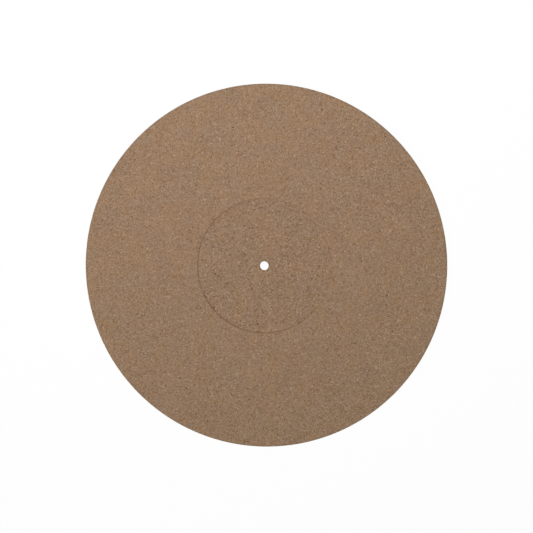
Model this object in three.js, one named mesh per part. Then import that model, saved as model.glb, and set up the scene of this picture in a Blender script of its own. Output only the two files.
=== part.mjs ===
// A record player's platter mat: one round sheet of bonded cork and rubber granules. It has a hole for the
// player's spindle and, round that hole, a shallow recess that takes the thicker label area of a record.
// Millimetres, +Z up. The underside lies on z = 0, and the spindle's axis is the Z axis.
import * as THREE from 'three';

// Driving dimensions
const matDiameter = 300;
const sheetThickness = 3;
const spindleHoleDiameter = 7.2;
const labelRecessDiameter = 111.5;
const labelRecessDepth = 0.7;

// Rounding that die cutting and sanding leave on the edges
const rimRounding = 0.3;
const holeRounding = 0.2;
const recessLipRounding = 0.2;
const recessFootFillet = 0.25;

// Fineness of the turned surfaces
const facetsPerTurn = 180;
const facetsPerRounding = 2;

const granulateMaterial = new THREE.MeshStandardMaterial({
  name: 'cork_rubber_granulate',
  color: 0x937860,
  roughness: 0.9,
  metalness: 0,
});

// The points of a quarter round on the section, from one angle in degrees to another, about a centre
function quarterRound(centreRadius, centreHeight, rounding, fromDegrees, toDegrees) {
  const points = [];
  for (let step = 0; step <= facetsPerRounding; step += 1) {
    const degrees = fromDegrees + ((toDegrees - fromDegrees) * step) / facetsPerRounding;
    const angle = THREE.MathUtils.degToRad(degrees);
    points.push(new THREE.Vector2(
      centreRadius + rounding * Math.cos(angle),
      centreHeight + rounding * Math.sin(angle),
    ));
  }
  return points;
}

// The closed section of the sheet on one side of the spindle's axis: x is the radius and y is the height.
// It runs out along the underside, up the rim, in along the top, down into the recess and down the hole.
function sheetSection() {
  const rimRadius = matDiameter / 2;
  const holeRadius = spindleHoleDiameter / 2;
  const recessRadius = labelRecessDiameter / 2;
  const recessFloor = sheetThickness - labelRecessDepth;

  const rimEase = Math.min(rimRounding, sheetThickness / 2);
  const holeEase = Math.min(holeRounding, recessFloor / 2);
  const lipEase = Math.min(recessLipRounding, labelRecessDepth / 2);
  const footEase = Math.min(recessFootFillet, labelRecessDepth / 2);

  const section = [
    ...quarterRound(rimRadius - rimEase, rimEase, rimEase, -90, 0),
    ...quarterRound(rimRadius - rimEase, sheetThickness - rimEase, rimEase, 0, 90),
    ...quarterRound(recessRadius + lipEase, sheetThickness - lipEase, lipEase, 90, 180),
    ...quarterRound(recessRadius - footEase, recessFloor + footEase, footEase, 0, -90),
    ...quarterRound(holeRadius + holeEase, recessFloor - holeEase, holeEase, 90, 180),
    ...quarterRound(holeRadius + holeEase, holeEase, holeEase, 180, 270),
  ];
  section.push(section[0].clone());
  return section;
}

function platterMat() {
  const geometry = new THREE.LatheGeometry(sheetSection(), facetsPerTurn);
  geometry.rotateX(Math.PI / 2);
  const mat = new THREE.Mesh(geometry, granulateMaterial);
  mat.name = 'platter_mat';
  return mat;
}

const turntablePlatterMat = new THREE.Group();
turntablePlatterMat.name = 'turntable_platter_mat';
turntablePlatterMat.add(platterMat());

export default turntablePlatterMat;
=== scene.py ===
import math
import bpy
import numpy as np
from mathutils import Matrix, Vector


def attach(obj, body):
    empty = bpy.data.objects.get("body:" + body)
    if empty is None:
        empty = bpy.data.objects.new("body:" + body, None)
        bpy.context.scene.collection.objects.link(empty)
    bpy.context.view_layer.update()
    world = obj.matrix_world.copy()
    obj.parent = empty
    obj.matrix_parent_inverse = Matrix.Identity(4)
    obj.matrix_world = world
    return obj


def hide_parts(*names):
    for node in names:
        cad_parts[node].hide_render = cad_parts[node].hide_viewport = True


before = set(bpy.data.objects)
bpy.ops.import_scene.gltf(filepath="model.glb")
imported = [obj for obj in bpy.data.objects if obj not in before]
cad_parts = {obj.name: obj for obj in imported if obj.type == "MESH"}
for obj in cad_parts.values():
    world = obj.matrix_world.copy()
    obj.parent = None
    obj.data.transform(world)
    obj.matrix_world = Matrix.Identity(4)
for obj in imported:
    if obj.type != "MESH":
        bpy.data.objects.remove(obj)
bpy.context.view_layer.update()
print("frame loaded")

# Metres, Z up. The mat lies on z = 0 round the spindle's axis, and its main sizes are read off the CAD node.
mm = 0.001
hair = 0.01 * mm  # nearer than this is the same place
spindlePoint = (0.0, 0.0, 0.0)
white = (1.0, 1.0, 1.0, 1.0)


# The camera stands almost straight above the mat, leaning a little to the right
camera = {
    "lens": 85.0,  # mm
    "sensor": 36.0,  # mm wide
    "reach": 1.0392,  # metres from the point it looks at
    "lean": 5.35,  # degrees off the vertical
    "leanTo": 15.0,  # degrees, from +X towards +Y
    "lookAt": (1.98 * mm, -0.60 * mm, 3.0 * mm),
}


def standCamera():
    lean, leanTo = math.radians(camera["lean"]), math.radians(camera["leanTo"])
    back = Vector((math.sin(lean) * math.cos(leanTo), math.sin(lean) * math.sin(leanTo), math.cos(lean)))
    right = Vector((0, 1, 0)).cross(back).normalized()
    up = back.cross(right)
    turn = Matrix((right, up, back)).transposed()
    place = Vector(camera["lookAt"]) + back * camera["reach"]
    bpy.ops.object.camera_add(location=place, rotation=turn.to_euler())
    seen = bpy.context.object
    seen.name = "camera"
    seen.data.lens = camera["lens"]
    seen.data.sensor_width = camera["sensor"]
    bpy.context.scene.camera = seen


standCamera()
print("camera stands")


# One socket of a node tree. Sums on it add Math nodes, and node() adds any other kind.
class Wire:
    def __init__(self, tree, socket=None):
        self.tree = tree
        self.socket = socket

    # settings are set first; values are numbers or wires, by a socket's name or place
    def node(self, kind, settings, values, output=0):
        made = self.tree.nodes.new(kind)
        for name, setting in settings.items():
            if name == "stops":
                self.setStops(made.color_ramp, setting)
            else:
                setattr(made, name, setting)
        for name, value in values.items():
            if isinstance(value, Wire):
                self.tree.links.new(value.socket, made.inputs[name])
            else:
                made.inputs[name].default_value = value
        return Wire(self.tree, made.outputs[output] if made.outputs else None)

    def setStops(self, ramp, stops):
        while len(ramp.elements) < len(stops):
            ramp.elements.new(1.0)
        for element, (place, colour) in zip(ramp.elements, stops):
            element.position = place
            element.color = colour

    # another output of the same node
    def beside(self, output):
        return Wire(self.tree, self.socket.node.outputs[output])

    def maths(self, operation, first, second):
        return self.node("ShaderNodeMath", {"operation": operation}, {0: first, 1: second})

    def __add__(self, other):
        return self.maths("ADD", self, other)

    def __radd__(self, other):
        return self.maths("ADD", other, self)

    def __sub__(self, other):
        return self.maths("SUBTRACT", self, other)

    def __rsub__(self, other):
        return self.maths("SUBTRACT", other, self)

    def __mul__(self, other):
        return self.maths("MULTIPLY", self, other)

    def __rmul__(self, other):
        return self.maths("MULTIPLY", other, self)

    # the same for vectors and colours
    def vector(self, operation, values, output=0):
        return self.node("ShaderNodeVectorMath", {"operation": operation}, {0: self, **values}, output)

    # 0 below low, 1 above high, eased between them
    def rise(self, low, high):
        return self.node(
            "ShaderNodeMapRange",
            {"interpolation_type": "SMOOTHSTEP"},
            {"Value": self, "From Min": low, "From Max": high},
        )


# Empties a material or world of nodes, and gives a wire to start its new ones from
def startNodes(block):
    block.use_nodes = True
    block.node_tree.nodes.clear()
    return Wire(block.node_tree)


def noise(place, across, detail=3.0):
    return place.node("ShaderNodeTexNoise", {}, {"Vector": place, "Scale": 1 / across, "Detail": detail})


def cells(place, across, feature="F1"):
    values = {"Vector": place, "Scale": 1 / across}
    return place.node("ShaderNodeTexVoronoi", {"feature": feature}, values)


# A cell's red, green and blue are three chances of its own
def chances(cell):
    return cell.node("ShaderNodeSeparateColor", {}, {0: cell.beside("Color")})


# A Mix node's sockets share their names, so they go by place: 6 and 7 take colours, 4 and 5 vectors
def mixed(share, under, over):
    return share.node("ShaderNodeMix", {"data_type": "RGBA"}, {0: share, 6: under, 7: over}, 2)


# A colour as a screen shows it, 0 to 255, as the linear colour that a shader takes
def fromScreen(red, green, blue):
    parts = [part / 255 for part in (red, green, blue)]
    linear = [part / 12.92 if part <= 0.04045 else ((part + 0.055) / 1.055) ** 2.4 for part in parts]
    return (*linear, 1.0)


# Bonded cork and rubber granules, the same all through the sheet. Lengths are in mm.
granulate = {
    "turned": (0.61, 0.37, 0.23),  # radians, so that the level faces cut the granules at all heights
    "granule": 1.12,  # across a cork granule
    "fines": 0.44,  # across the crumbs between them
    "finesShare": 0.42,  # of the granules' places, filled with crumbs
    "finesEdge": 0.02,  # the step in chance over which crumbs set in
    "bend": 0.50,  # how far the granules' sides wander
    "bendAcross": 0.62,  # the length of one bend in a side
    "contrast": 0.90,  # between one granule's shade and the next
    "shades": [
        (0.00, fromScreen(127, 95, 71)),
        (0.12, fromScreen(143, 113, 87)),
        (0.35, fromScreen(155, 125, 97)),
        (0.60, fromScreen(162, 133, 106)),
        (0.85, fromScreen(169, 142, 116)),
        (1.00, fromScreen(178, 153, 129)),
    ],
    "binder": 0.11,  # half the width of the rubber between granules, in granules
    "binderCore": 0.3,  # the part of that where its colour is full
    "binderLeast": 0.3,  # how strong its colour is at least
    "binderSpread": 0.5,  # what chance adds to that
    "binderColour": fromScreen(130, 101, 78),
    "specks": {  # of dark bark
        "pitch": 3.9,  # from one to the next
        "reach": 0.38,  # radius of a common one
        "strength": 0.78,
        "colour": fromScreen(72, 48, 28),
    },
    "flecks": {  # of clean pale cork
        "pitch": 5.0,
        "reach": 0.38,
        "strength": 0.70,
        "colour": fromScreen(195, 173, 152),
    },
    "spotEdge": (0.7, 1.3),  # where specks and flecks start to fade and end, in radii
    "bareChance": (0.35, 0.4),  # below the first there is none, above the second a full one
    "rareChance": (0.7, 1.0),  # from the first to the second they grow
    "rareGrowth": 0.5,  # by how much of the radius
    "grain": 0.16,  # across the finest grain, inside a granule
    "grainLight": 0.07,
    "mottle": 20.0,  # across the broad clouding of the sheet
    "mottleLight": 0.11,
    "rimBand": (-2.2, -0.6),  # from the rim, a band where the sheet is made darker towards its edge
    "rimBandDarkening": 0.06,
    "light": 0.934,  # before grain and mottle lighten it and the band at the rim darkens it
    "tint": 14.0,  # across the patches that lean to grey or to ochre
    "tintEdge": (0.35, 0.65),  # where a patch turns from grey to ochre
    "greyTint": (0.970, 1.0, 1.070),
    "ochreTint": (1.030, 1.0, 0.930),
    "bumps": {"shade": 0.04, "grain": 0.05, "binder": 0.09, "specks": 0.16},  # how far each rises or sinks
    "roughness": 0.84,
    "roughnessSpread": 0.12,
    "specular": 0.2,
    "cutMarksAndShade": {  # the cutter's marks in the recess, and painted shade along the foot of its wall, in mm from the recess's wall
        "floor": (-0.3, 0.2),  # where its coarser floor ends
        "contrast": 0.08,  # added to the granules' there
        "growth": 0.2,  # by how much of their size specks, flecks and bumps grow there
        # painted shade along the foot of the recess's wall: where it fades in, where it fades out, how
        # strong, its colour
        "paintedShadeStart": (-1.9, -0.4),
        "paintedShadeEnd": (0.0, 0.9),
        "paintedShadeStrength": 0.17,
        "paintedShadeColour": fromScreen(110, 62, 10),
        "above": (0.8, 1.2),  # heights at which all this sets in, so that the underside has none
    },
}


def corkRubberFinish(recessRadius, rimRadius):
    material = bpy.data.materials.new("cork_rubber")
    start = startNodes(material)
    bumps, cutMarksAndShade = granulate["bumps"], granulate["cutMarksAndShade"]

    # from here on places are in mm
    metres = start.node("ShaderNodeTexCoord", {}, {}, "Object")
    straight = metres.vector("SCALE", {"Scale": 1 / mm})
    distance = straight.vector("LENGTH", {}, "Value")
    height = start.node("ShaderNodeSeparateXYZ", {}, {0: straight}, "Z")
    place = start.node("ShaderNodeMapping", {}, {"Vector": straight, "Rotation": granulate["turned"]})

    # rises between two places, given in mm from a radius
    def ranged(radius, fromTo):
        return distance.rise(*[radius / mm + offset for offset in fromTo])

    # the granules' sides wander, as torn cork's do
    drift = noise(place, granulate["bendAcross"]).beside("Color")
    drift = drift.vector("SUBTRACT", {1: (0.5, 0.5, 0.5)})
    drift = drift.vector("SCALE", {"Scale": 2 * granulate["bend"]})
    wandered = place.vector("ADD", {1: drift})

    granuleChance = chances(cells(wandered, granulate["granule"]))
    crumbChance = chances(cells(wandered, granulate["fines"]))
    granuleSides = cells(wandered, granulate["granule"], "DISTANCE_TO_EDGE")

    # the cutter leaves the recess more open, so its granules stand out more
    isUpper = height.rise(*cutMarksAndShade["above"])
    cutFloor = (1 - ranged(recessRadius, cutMarksAndShade["floor"])) * isUpper

    crumbsFrom = 1 - granulate["finesShare"]
    isCrumbs = granuleChance.beside("Green").rise(crumbsFrom, crumbsFrom + granulate["finesEdge"])
    shade = granuleChance + isCrumbs * (crumbChance - granuleChance)
    shade = 0.5 + (shade - 0.5) * (granulate["contrast"] + cutMarksAndShade["contrast"] * cutFloor)
    binder = 1 - granuleSides.rise(granulate["binderCore"] * granulate["binder"], granulate["binder"])
    grain = noise(place, granulate["grain"], detail=1.0)

    # round spots in some of the cells, a few of them larger
    def spots(kind):
        middles = cells(wandered, kind["pitch"])
        chance = chances(middles)
        reach = kind["reach"] / kind["pitch"]
        isRare = chance.beside("Green").rise(*granulate["rareChance"])
        larger = granulate["rareGrowth"] * isRare + cutMarksAndShade["growth"] * cutFloor
        full, none = (edge * reach for edge in granulate["spotEdge"])
        return (1 - (middles - reach * larger).rise(full, none)) * chance.rise(*granulate["bareChance"])

    specks, flecks = granulate["specks"], granulate["flecks"]
    isSpeck, isFleck = spots(specks), spots(flecks)

    colour = start.node("ShaderNodeValToRGB", {"stops": granulate["shades"]}, {0: shade})
    binderShare = binder * (granulate["binderLeast"] + granulate["binderSpread"] * crumbChance)
    colour = mixed(binderShare, colour, granulate["binderColour"])
    colour = mixed(isFleck * flecks["strength"], colour, flecks["colour"])
    colour = mixed(isSpeck * specks["strength"], colour, specks["colour"])

    # painted shade: a darker line along the foot of the recess's wall, stronger in some patches
    patches = noise(place, granulate["tint"])
    paintedFootShade = ranged(recessRadius, cutMarksAndShade["paintedShadeStart"]) * (1 - ranged(recessRadius, cutMarksAndShade["paintedShadeEnd"]))
    paintedShadeShare = paintedFootShade * isUpper * (cutMarksAndShade["paintedShadeStrength"] * patches)
    colour = mixed(paintedShadeShare, colour, cutMarksAndShade["paintedShadeColour"])

    mottle = noise(place, granulate["mottle"])
    # darker in a band towards the rim
    rimBand = ranged(rimRadius, granulate["rimBand"])
    light = granulate["light"] + granulate["mottleLight"] * mottle + granulate["grainLight"] * grain
    light = light - granulate["rimBandDarkening"] * rimBand
    colour = colour.vector("SCALE", {"Scale": light})

    # a lean to grey or ochre, half by patches and half by granules
    leaning = 0.5 * patches.rise(*granulate["tintEdge"]) + 0.5 * granuleChance.beside("Blue")
    tints = {0: leaning, 4: granulate["greyTint"], 5: granulate["ochreTint"]}
    tint = start.node("ShaderNodeMix", {"data_type": "VECTOR"}, tints, 1)
    colour = colour.vector("MULTIPLY", {1: tint})

    raised = bumps["shade"] * shade + bumps["grain"] * grain
    raised = raised - bumps["binder"] * binder - bumps["specks"] * isSpeck
    raised = raised * (1 + cutMarksAndShade["growth"] * cutFloor)
    normal = start.node("ShaderNodeBump", {}, {"Strength": 1.0, "Distance": mm, "Height": raised})
    surface = {
        "Base Color": colour,
        "Roughness": granulate["roughness"] + granulate["roughnessSpread"] * crumbChance,
        "Specular IOR Level": granulate["specular"],
        "Normal": normal,
    }
    finish = start.node("ShaderNodeBsdfPrincipled", {}, surface)
    start.node("ShaderNodeOutputMaterial", {}, {"Surface": finish})
    return material


# The sheet itself. Its top is a round lattice of small triangles, fine enough to hold granules and torn pits.
sheet = {
    "topRings": 150,  # rings of the top's lattice, the outermost on the rim
    "undersideRings": 75,
    "latticeCuts": 15,  # a lattice is cut in two steps, so its rings are a multiple of this
    "holeRing": 8,  # the ring that lies on the spindle hole's edge
    "rimRounding": 0.30 * mm,
    "holeRounding": 0.20 * mm,
    "lipRounding": 0.20 * mm,
    "footFillet": 0.25 * mm,
    "roundingSteps": 3,
    "wallRings": 4,  # on the straight part of the rim and of the hole
    "edgeBand": 1 * mm,  # the roundings of the rim and of the hole lie within this of their walls
    "wallPart": (0.3, 0.75),  # where the recess's wall is straight, in parts of its height
    "wallClear": 5 * mm,  # how far that wall is from the rim and the hole, at least
    "wander": 0.12,  # how far a lattice point strays, in pitches
    "smoothBelow": 42,  # degrees
    "seed": 7,
    "pits": [  # on which faces, how many at most, how far inside their six triangles, how deep
        ("upper", 150, 0.56 * mm, 0.12 * mm),
        ("upper", 80, 0.46 * mm, 0.20 * mm),
        ("upper", 30, 0.32 * mm, 0.30 * mm),
        ("lower", 60, 1.20 * mm, 0.15 * mm),
        ("lower", 30, 1.00 * mm, 0.25 * mm),
    ],
    "pitWall": 0.08 * mm,  # the width of a pit's slope
    "pitsFromEdges": 3 * mm,
    "pitsApart": 4.5 * mm,
    "pitRoom": 1.15,  # how near to a pit's middle the far sides of its triangles may be, in insets
    "pitSide": 1.4,  # how short those sides may be
    "nap": 0.05 * mm,  # how far the highest granules stand above the upper faces' own level
    "edgeZone": 0.4 * mm,  # this near to an edge, it crumbles
    "relief": {  # the points moved, the texture's kind and size, the way, how far, the value that stays put
        "granules": ("upper", "VORONOI", 2.3 * mm, "Z", -0.15 * mm, 0.50),
        "unevenness": ("upper", "CLOUDS", 5.0 * mm, "Z", -0.08 * mm, 0.50),
        "lowerGranules": ("lower", "VORONOI", 2.6 * mm, "Z", 0.22 * mm, 0.40),
        "crumbledEdges": ("edges", "VORONOI", 1.7 * mm, "NORMAL", -0.07 * mm, 0.0),
    },
    "upperIsland": 0.390,  # radius of the top's island on the map for baked textures, in map widths
    "lowerIsland": 0.190,
    "mapMargin": 0.003,
}


# Works in edit mode on just these vertices, edges or faces of the piece
def choose(piece, kind, wanted):
    mesh = piece.data
    kinds = {"VERT": mesh.vertices, "EDGE": mesh.edges, "FACE": mesh.polygons}
    for name, group in kinds.items():
        group.foreach_set("select", wanted if name == kind else np.zeros(len(group), bool))
    bpy.context.tool_settings.mesh_select_mode = [name == kind for name in kinds]
    bpy.ops.object.mode_set(mode="EDIT")


def readPlaces(mesh):
    places = np.empty(len(mesh.vertices) * 3)
    mesh.vertices.foreach_get("co", places)
    return places.reshape(-1, 3)


# The vertex at each corner of each face, and each face's count of corners
def readFaces(mesh):
    corners = np.empty(len(mesh.loops), int)
    mesh.loops.foreach_get("vertex_index", corners)
    sides = np.empty(len(mesh.polygons), int)
    mesh.polygons.foreach_get("loop_total", sides)
    return corners, sides


# How far out each place is from the spindle's axis
def reachOf(places):
    return np.hypot(places[:, 0], places[:, 1])


# How far each value is from the nearest of these
def nearest(values, targets):
    return np.minimum.reduce([np.abs(values - target) for target in targets])


# The outline's sizes, from the CAD node's own vertices. The granules' tops reach the CAD's two upper levels,
# so the faces' own levels are a nap lower.
def readSheetSizes(node):
    places = readPlaces(node.data)
    reach, height = reachOf(places), places[:, 2]
    rim, hole, top = reach.max(), reach.min(), height.max()
    floor = height[reach < hole + sheet["edgeBand"]].max()
    low, high = sheet["wallPart"]
    share = (height - floor) / (top - floor)
    onWall = (share > low) & (share < high) & (nearest(reach, (hole, rim)) > sheet["wallClear"])
    recess, nap = reach[onWall].mean(), sheet["nap"]
    return {"hole": hole, "recess": recess, "rim": rim, "floor": floor - nap, "top": top - nap}


def edgesOf(size):
    return [size[name] for name in ("hole", "recess", "rim")]


# Stations of a quarter round on the section, each a radius and a height
def quarterRound(radius, height, rounding, fromDegrees, toDegrees):
    turns = np.radians(np.linspace(fromDegrees, toDegrees, sheet["roundingSteps"] + 1))
    return [(radius + rounding * math.cos(turn), height + rounding * math.sin(turn)) for turn in turns]


# One station for each ring of the top, from the hole's edge out over the recess to the rim
def topStations(size):
    hole, foot = sheet["holeRounding"], sheet["footFillet"]
    lip, rim = sheet["lipRounding"], sheet["rimRounding"]
    holeRound = quarterRound(size["hole"] + hole, size["floor"] - hole, hole, 180, 90)
    footRound = quarterRound(size["recess"] - foot, size["floor"] + foot, foot, -90, 0)
    lipRound = quarterRound(size["recess"] + lip, size["top"] - lip, lip, 180, 90)
    rimRound = quarterRound(size["rim"] - rim, size["top"] - rim, rim, 90, 0)

    # the level rings left over are shared out by width
    rings = sheet["topRings"] - sheet["holeRing"] + 1
    levelRings = rings - sum(len(part) for part in (holeRound, footRound, lipRound, rimRound))
    floorWidth = footRound[0][0] - holeRound[-1][0]
    landWidth = rimRound[0][0] - lipRound[-1][0]
    floorRings = round((levelRings + 2) * floorWidth / (floorWidth + landWidth)) - 1
    landRings = levelRings - floorRings
    floor = np.linspace(holeRound[-1][0], footRound[0][0], floorRings + 2)[1:-1]
    land = np.linspace(lipRound[-1][0], rimRound[0][0], landRings + 2)[1:-1]
    isLevel = np.zeros(rings, bool)
    isLevel[len(holeRound):len(holeRound) + floorRings] = True
    isLevel[rings - len(rimRound) - landRings:rings - len(rimRound)] = True
    stations = [
        *holeRound,
        *[(radius, size["floor"]) for radius in floor],
        *footRound,
        *lipRound,
        *[(radius, size["top"]) for radius in land],
        *rimRound,
    ]
    return np.array(stations), isLevel


# On a six-sided lattice with rings 1 mm apart, each point's ring and its angle once that ring is made round
def ringsOf(places):
    sixth, corner = math.radians(60), math.radians(30)
    reach = reachOf(places)
    sector, within = np.divmod(np.arctan2(places[:, 1], places[:, 0]) - corner, sixth)
    ring = np.rint(reach * (np.cos(within) + np.sin(within) / math.sqrt(3)) / mm).astype(int)
    along = reach * np.sin(within) / math.sin(sixth) / mm
    return ring, corner + sixth * (sector + along / np.maximum(ring, 1))


# A six-sided lattice of triangles, its points then moved onto round rings, one station to a ring
def addLattice(name, rings, stations, isLevel, chance):
    bpy.ops.object.select_all(action="DESELECT")
    bpy.ops.mesh.primitive_circle_add(vertices=6, radius=rings * mm, fill_type="TRIFAN")
    piece = bpy.context.object
    piece.name = name
    bpy.ops.object.mode_set(mode="EDIT")
    bpy.ops.mesh.select_all(action="SELECT")
    bpy.ops.mesh.subdivide(number_cuts=rings // sheet["latticeCuts"] - 1)
    bpy.ops.mesh.subdivide(number_cuts=sheet["latticeCuts"] - 1)
    bpy.ops.object.mode_set(mode="OBJECT")
    choose(piece, "VERT", ringsOf(readPlaces(piece.data))[0] < sheet["holeRing"])
    bpy.ops.mesh.delete(type="VERT")
    bpy.ops.object.mode_set(mode="OBJECT")

    ring, turn = ringsOf(readPlaces(piece.data))
    station = ring - sheet["holeRing"]
    radius, height = stations[station].T
    outward = np.gradient(stations[:, 0])[station]
    stray = chance.uniform(-sheet["wander"], sheet["wander"], (2, len(ring))) * isLevel[station]
    turn = turn + stray[0] * math.tau / (6 * ring)  # ring n has 6n points
    radius = radius + stray[1] * outward
    places = np.stack([radius * np.cos(turn), radius * np.sin(turn), height], 1)
    piece.data.vertices.foreach_set("co", places.ravel())
    piece.data.update()
    return piece


# The edges that only one face uses, and how far out each lies
def openEdges(mesh):
    used = np.empty(len(mesh.loops), int)
    mesh.loops.foreach_get("edge_index", used)
    ends = np.empty(len(mesh.edges) * 2, int)
    mesh.edges.foreach_get("vertices", ends)
    reach = reachOf(readPlaces(mesh))[ends.reshape(-1, 2)].mean(1)
    return np.bincount(used, minlength=len(mesh.edges)) == 1, reach


# Draws an open edge down the section, from one station to the next
def drawDown(piece, wanted, stations):
    choose(piece, "EDGE", wanted)
    for (radius, height), (nextRadius, nextHeight) in zip(stations, stations[1:]):
        move = {"value": (0, 0, nextHeight - height)}
        bpy.ops.mesh.extrude_region_move(TRANSFORM_OT_translate=move)
        growth = nextRadius / radius
        bpy.ops.transform.resize(value=(growth, growth, 1), center_override=spindlePoint)
    bpy.ops.object.mode_set(mode="OBJECT")


def addMat(size):
    chance = np.random.default_rng(sheet["seed"])
    stations, isLevel = topStations(size)
    top = addLattice("corkMat", sheet["topRings"], stations, isLevel, chance)

    # the rim and the spindle hole run down from the top's two open edges
    rim, hole, wallRings = sheet["rimRounding"], sheet["holeRounding"], sheet["wallRings"]
    rimWall = [(size["rim"], height) for height in np.linspace(size["top"] - rim, rim, wallRings)]
    rimFoot = quarterRound(size["rim"] - rim, rim, rim, 0, -90)
    isOpen, reach = openEdges(top.data)
    drawDown(top, isOpen & (reach > size["recess"]), rimWall + rimFoot[1:])
    holeWall = [(size["hole"], height) for height in np.linspace(size["floor"] - hole, hole, wallRings)]
    holeFoot = quarterRound(size["hole"] + hole, hole, hole, 180, 270)
    isOpen, reach = openEdges(top.data)
    drawDown(top, isOpen & (reach < size["recess"]), holeWall + holeFoot[1:])

    # the underside is a second lattice with half as many points at its rim, so the edges there are cut in two
    rings = sheet["undersideRings"] - sheet["holeRing"] + 1
    flat = np.stack([np.linspace(size["hole"] + hole, size["rim"] - rim, rings), np.zeros(rings)], 1)
    isInside = np.ones(rings, bool)
    isInside[[0, -1]] = False
    underside = addLattice("underside", sheet["undersideRings"], flat, isInside, chance)
    isOpen, reach = openEdges(underside.data)
    choose(underside, "EDGE", isOpen & (reach > size["recess"]))
    bpy.ops.mesh.subdivide(number_cuts=1)
    bpy.ops.object.mode_set(mode="OBJECT")

    # both its edges merge with the walls'
    bpy.ops.object.select_all(action="DESELECT")
    underside.select_set(True)
    top.select_set(True)
    bpy.context.view_layer.objects.active = top
    bpy.ops.object.join()
    bpy.ops.object.mode_set(mode="EDIT")
    bpy.ops.mesh.select_all(action="SELECT")
    bpy.ops.mesh.remove_doubles(threshold=hair)
    bpy.ops.mesh.normals_make_consistent(inside=False)
    bpy.ops.object.mode_set(mode="OBJECT")
    return top


# The map for baked textures: the top and its edges unrolled outwards in a round island, the underside in a
# smaller one. It is laid before the pits are torn, and they take it over.
def layMap(mat, size):
    mesh = mat.data
    places = readPlaces(mesh)
    reach, height, turn = reachOf(places), places[:, 2], np.arctan2(places[:, 1], places[:, 0])
    unrolled = np.where(
        reach < size["rim"] - sheet["edgeBand"],
        reach + height - size["floor"],
        reach + 2 * size["top"] - size["floor"] - height,
    )
    upper = unrolled / unrolled.max() * sheet["upperIsland"]
    lower = reach / size["rim"] * sheet["lowerIsland"]
    upperMiddle = sheet["upperIsland"] + sheet["mapMargin"]
    lowerMiddle = 1 - sheet["lowerIsland"] - sheet["mapMargin"]
    upperSpots = upperMiddle + np.stack([upper * np.cos(turn), upper * np.sin(turn)], 1)
    lowerSpots = lowerMiddle + np.stack([-lower * np.cos(turn), lower * np.sin(turn)], 1)

    corners, sides = readFaces(mesh)
    centres = np.empty(len(mesh.polygons) * 3)
    mesh.polygons.foreach_get("center", centres)
    isLower = np.repeat(centres[2::3] < hair, sides)
    spots = np.where(isLower[:, None], lowerSpots[corners], upperSpots[corners])

    # baked textures go onto a map of this name
    mesh.uv_layers.new(name="OFBake").uv.foreach_set("vector", spots.ravel())


# For each lattice point, how near the far sides of its triangles are, and the shortest of those sides
def roomRound(places, triangles):
    near, shortest = np.full(len(places), np.inf), np.full(len(places), np.inf)
    for turn in range(3):
        corner = np.roll(triangles, turn, 1)
        middle, first, second = places[corner].transpose(1, 0, 2)
        side = np.linalg.norm(second - first, axis=1)
        across = np.linalg.norm(np.cross(first - middle, second - middle), axis=1) / side
        np.minimum.at(near, corner[:, 0], across)
        np.minimum.at(shortest, corner[:, 0], side)
    return near, shortest


# Granules torn out of the two faces leave small pits, each inset into the six triangles round a lattice point
def tearPits(mat, size):
    chance = np.random.default_rng(sheet["seed"] + 1)
    levels = {"upper": (size["floor"], size["top"]), "lower": (0,)}
    for faces, count, brim, depth in sheet["pits"]:
        places = readPlaces(mat.data)
        corners, sides = readFaces(mat.data)
        clear = nearest(reachOf(places), edgesOf(size)) > sheet["pitsFromEdges"]
        clear &= nearest(places[:, 2], levels[faces]) < hair
        clear[corners[np.repeat(sides > 3, sides)]] = False  # an earlier pit is there
        near, shortest = roomRound(places, corners[np.repeat(sides == 3, sides)].reshape(-1, 3))
        inset = brim + sheet["pitWall"]
        clear &= (near > sheet["pitRoom"] * inset) & (shortest > sheet["pitSide"] * inset)

        middles = chance.choice(np.flatnonzero(clear), count, replace=False)
        apart = np.linalg.norm(places[middles][:, None] - places[middles], axis=2)
        crowded = np.triu(apart < sheet["pitsApart"], 1).any(0)  # too close to an earlier one
        isMiddle = np.zeros(len(places), bool)
        isMiddle[middles[~crowded]] = True
        isRound = np.logical_or.reduceat(isMiddle[corners], np.cumsum(sides) - sides)  # faces round a middle
        choose(mat, "FACE", isRound)
        bpy.ops.mesh.inset(thickness=brim, depth=0)
        bpy.ops.mesh.inset(thickness=sheet["pitWall"], depth=-depth)
        bpy.ops.object.mode_set(mode="OBJECT")


# Moves the faces and edges by cell and cloud patterns
def roughen(mat, size):
    places = readPlaces(mat.data)
    height = places[:, 2]
    isEdge = nearest(reachOf(places), edgesOf(size)) < sheet["edgeZone"]
    isUpper = nearest(height, (size["floor"], size["top"])) < hair
    isLower = height < hair
    points = {"upper": isUpper & ~isEdge, "lower": isLower & ~isEdge, "edges": isEdge & ~isLower}
    for name, wanted in points.items():
        mat.vertex_groups.new(name=name).add(np.flatnonzero(wanted).tolist(), 1.0, "REPLACE")
    bpy.context.view_layer.objects.active = mat
    for name, (group, kind, across, way, depth, still) in sheet["relief"].items():
        texture = bpy.data.textures.new(name, kind)
        texture.noise_scale = across
        change = mat.modifiers.new(name, "DISPLACE")
        change.texture = texture
        change.texture_coords = "LOCAL"
        change.direction = way
        change.mid_level = still
        change.strength = depth
        change.vertex_group = group
        bpy.ops.object.modifier_apply(modifier=name)

    # the sheet is sanded level, so the highest granules end flat
    rough = readPlaces(mat.data)
    highest = height[points["upper"]] + sheet["nap"]
    rough[points["upper"], 2] = np.minimum(rough[points["upper"], 2], highest)
    rough[points["lower"], 2] = np.maximum(rough[points["lower"], 2], 0)
    mat.data.vertices.foreach_set("co", rough.ravel())
    mat.data.update()


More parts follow.
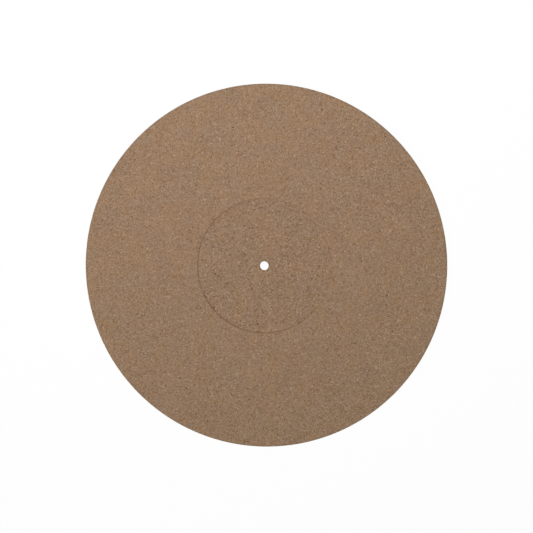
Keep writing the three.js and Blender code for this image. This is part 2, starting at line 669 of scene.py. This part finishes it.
def buildMat():
    size = readSheetSizes(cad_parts["platter_mat"])
    mat = addMat(size)
    layMap(mat, size)
    tearPits(mat, size)
    roughen(mat, size)
    bpy.ops.object.shade_smooth_by_angle(angle=math.radians(sheet["smoothBelow"]))
    mat.data.materials.append(corkRubberFinish(size["recess"], size["rim"]))
    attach(mat, "root")
    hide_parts("platter_mat")
    return mat


mat = buildMat()
print("mat built,", len(mat.data.polygons), "faces")


# A plain pale floor. The camera sees it as white paper that keeps a faint shadow.
paperFloor = {
    "across": 16.0,
    "drop": 0.05 * mm,  # under the mat, so that the two don't flicker
    "colour": (0.95, 0.95, 0.95, 1.0),
    "paper": 0.94,  # the share of its white that doesn't depend on the lamps
}


# 1 for what the camera sees, also in reflections and through glass, and 0 for the light on the object
def seenDirectly(start):
    path = start.node("ShaderNodeLightPath", {}, {}, "Is Camera Ray")
    return path + path.beside("Is Glossy Ray") + path.beside("Is Transmission Ray")


def addFloor():
    bpy.ops.object.select_all(action="DESELECT")
    bpy.ops.mesh.primitive_plane_add(size=paperFloor["across"], location=(0, 0, -paperFloor["drop"]))
    plane = bpy.context.object
    plane.name = "floor"
    bpy.ops.object.transform_apply(location=True)
    material = bpy.data.materials.new("white_floor")
    start = startNodes(material)
    share = seenDirectly(start) * paperFloor["paper"]
    lit = start.node("ShaderNodeBsdfDiffuse", {}, {"Color": paperFloor["colour"]})
    paper = start.node("ShaderNodeEmission", {}, {"Color": white, "Strength": 1.0})
    surface = start.node("ShaderNodeMixShader", {}, {0: share, 1: lit, 2: paper})
    start.node("ShaderNodeOutputMaterial", {}, {"Surface": surface})
    plane.data.materials.append(material)


addFloor()
print("floor laid")


# Soft studio light. The shares add up to 1, at which a level colour renders as written.
studio = {
    "worldShare": 0.37,
    "softboxes": {
        "key": {
            "share": 0.13,
            "place": (-1.54, -0.59, 0.95),
            "faces": (0, 0, 0),
            "across": 0.90,
            "spread": 180,  # degrees
        },
        "overhead": {
            "share": 0.50,
            "place": (0, 0.03, 1.60),
            "faces": (-0.10, 0.47, 0),
            "across": 0.40,
            "spread": 72,
        },
    },
}


# A square lamp, with the watts that give its share of the light at the middle of the mat
def addSoftbox(name, box):
    place = Vector(box["place"])
    back = (place - Vector(box["faces"])).normalized()
    bpy.ops.object.light_add(type="AREA", location=place, rotation=back.to_track_quat("Z", "Y").to_euler())
    lamp = bpy.context.object
    lamp.name = name
    lamp.data.shape = "SQUARE"
    lamp.data.size = box["across"]
    lamp.data.spread = math.radians(box["spread"])
    edge, slant = math.radians(box["spread"]) / 2, place.angle(back)
    beam = (math.tan(edge) - math.tan(slant)) / (math.tan(edge) - edge)  # what the spread leaves that way
    caught = math.cos(slant) * math.cos(place.angle(Vector((0, 0, 1)))) * beam
    lamp.data.energy = box["share"] * math.pi ** 2 * place.length_squared / caught


def lightStudio():
    for name, box in studio["softboxes"].items():
        addSoftbox(name, box)
    world = bpy.data.worlds.new("studio")
    start = startNodes(world)
    around = start.node("ShaderNodeBackground", {}, {"Color": white, "Strength": studio["worldShare"]})
    behind = start.node("ShaderNodeBackground", {}, {"Color": white, "Strength": 1.0})
    surface = start.node("ShaderNodeMixShader", {}, {0: seenDirectly(start), 1: around, 2: behind})
    start.node("ShaderNodeOutputWorld", {}, {"Surface": surface})
    bpy.context.scene.world = world
    bpy.context.scene.view_settings.view_transform = "Standard"


lightStudio()
print("studio lit")
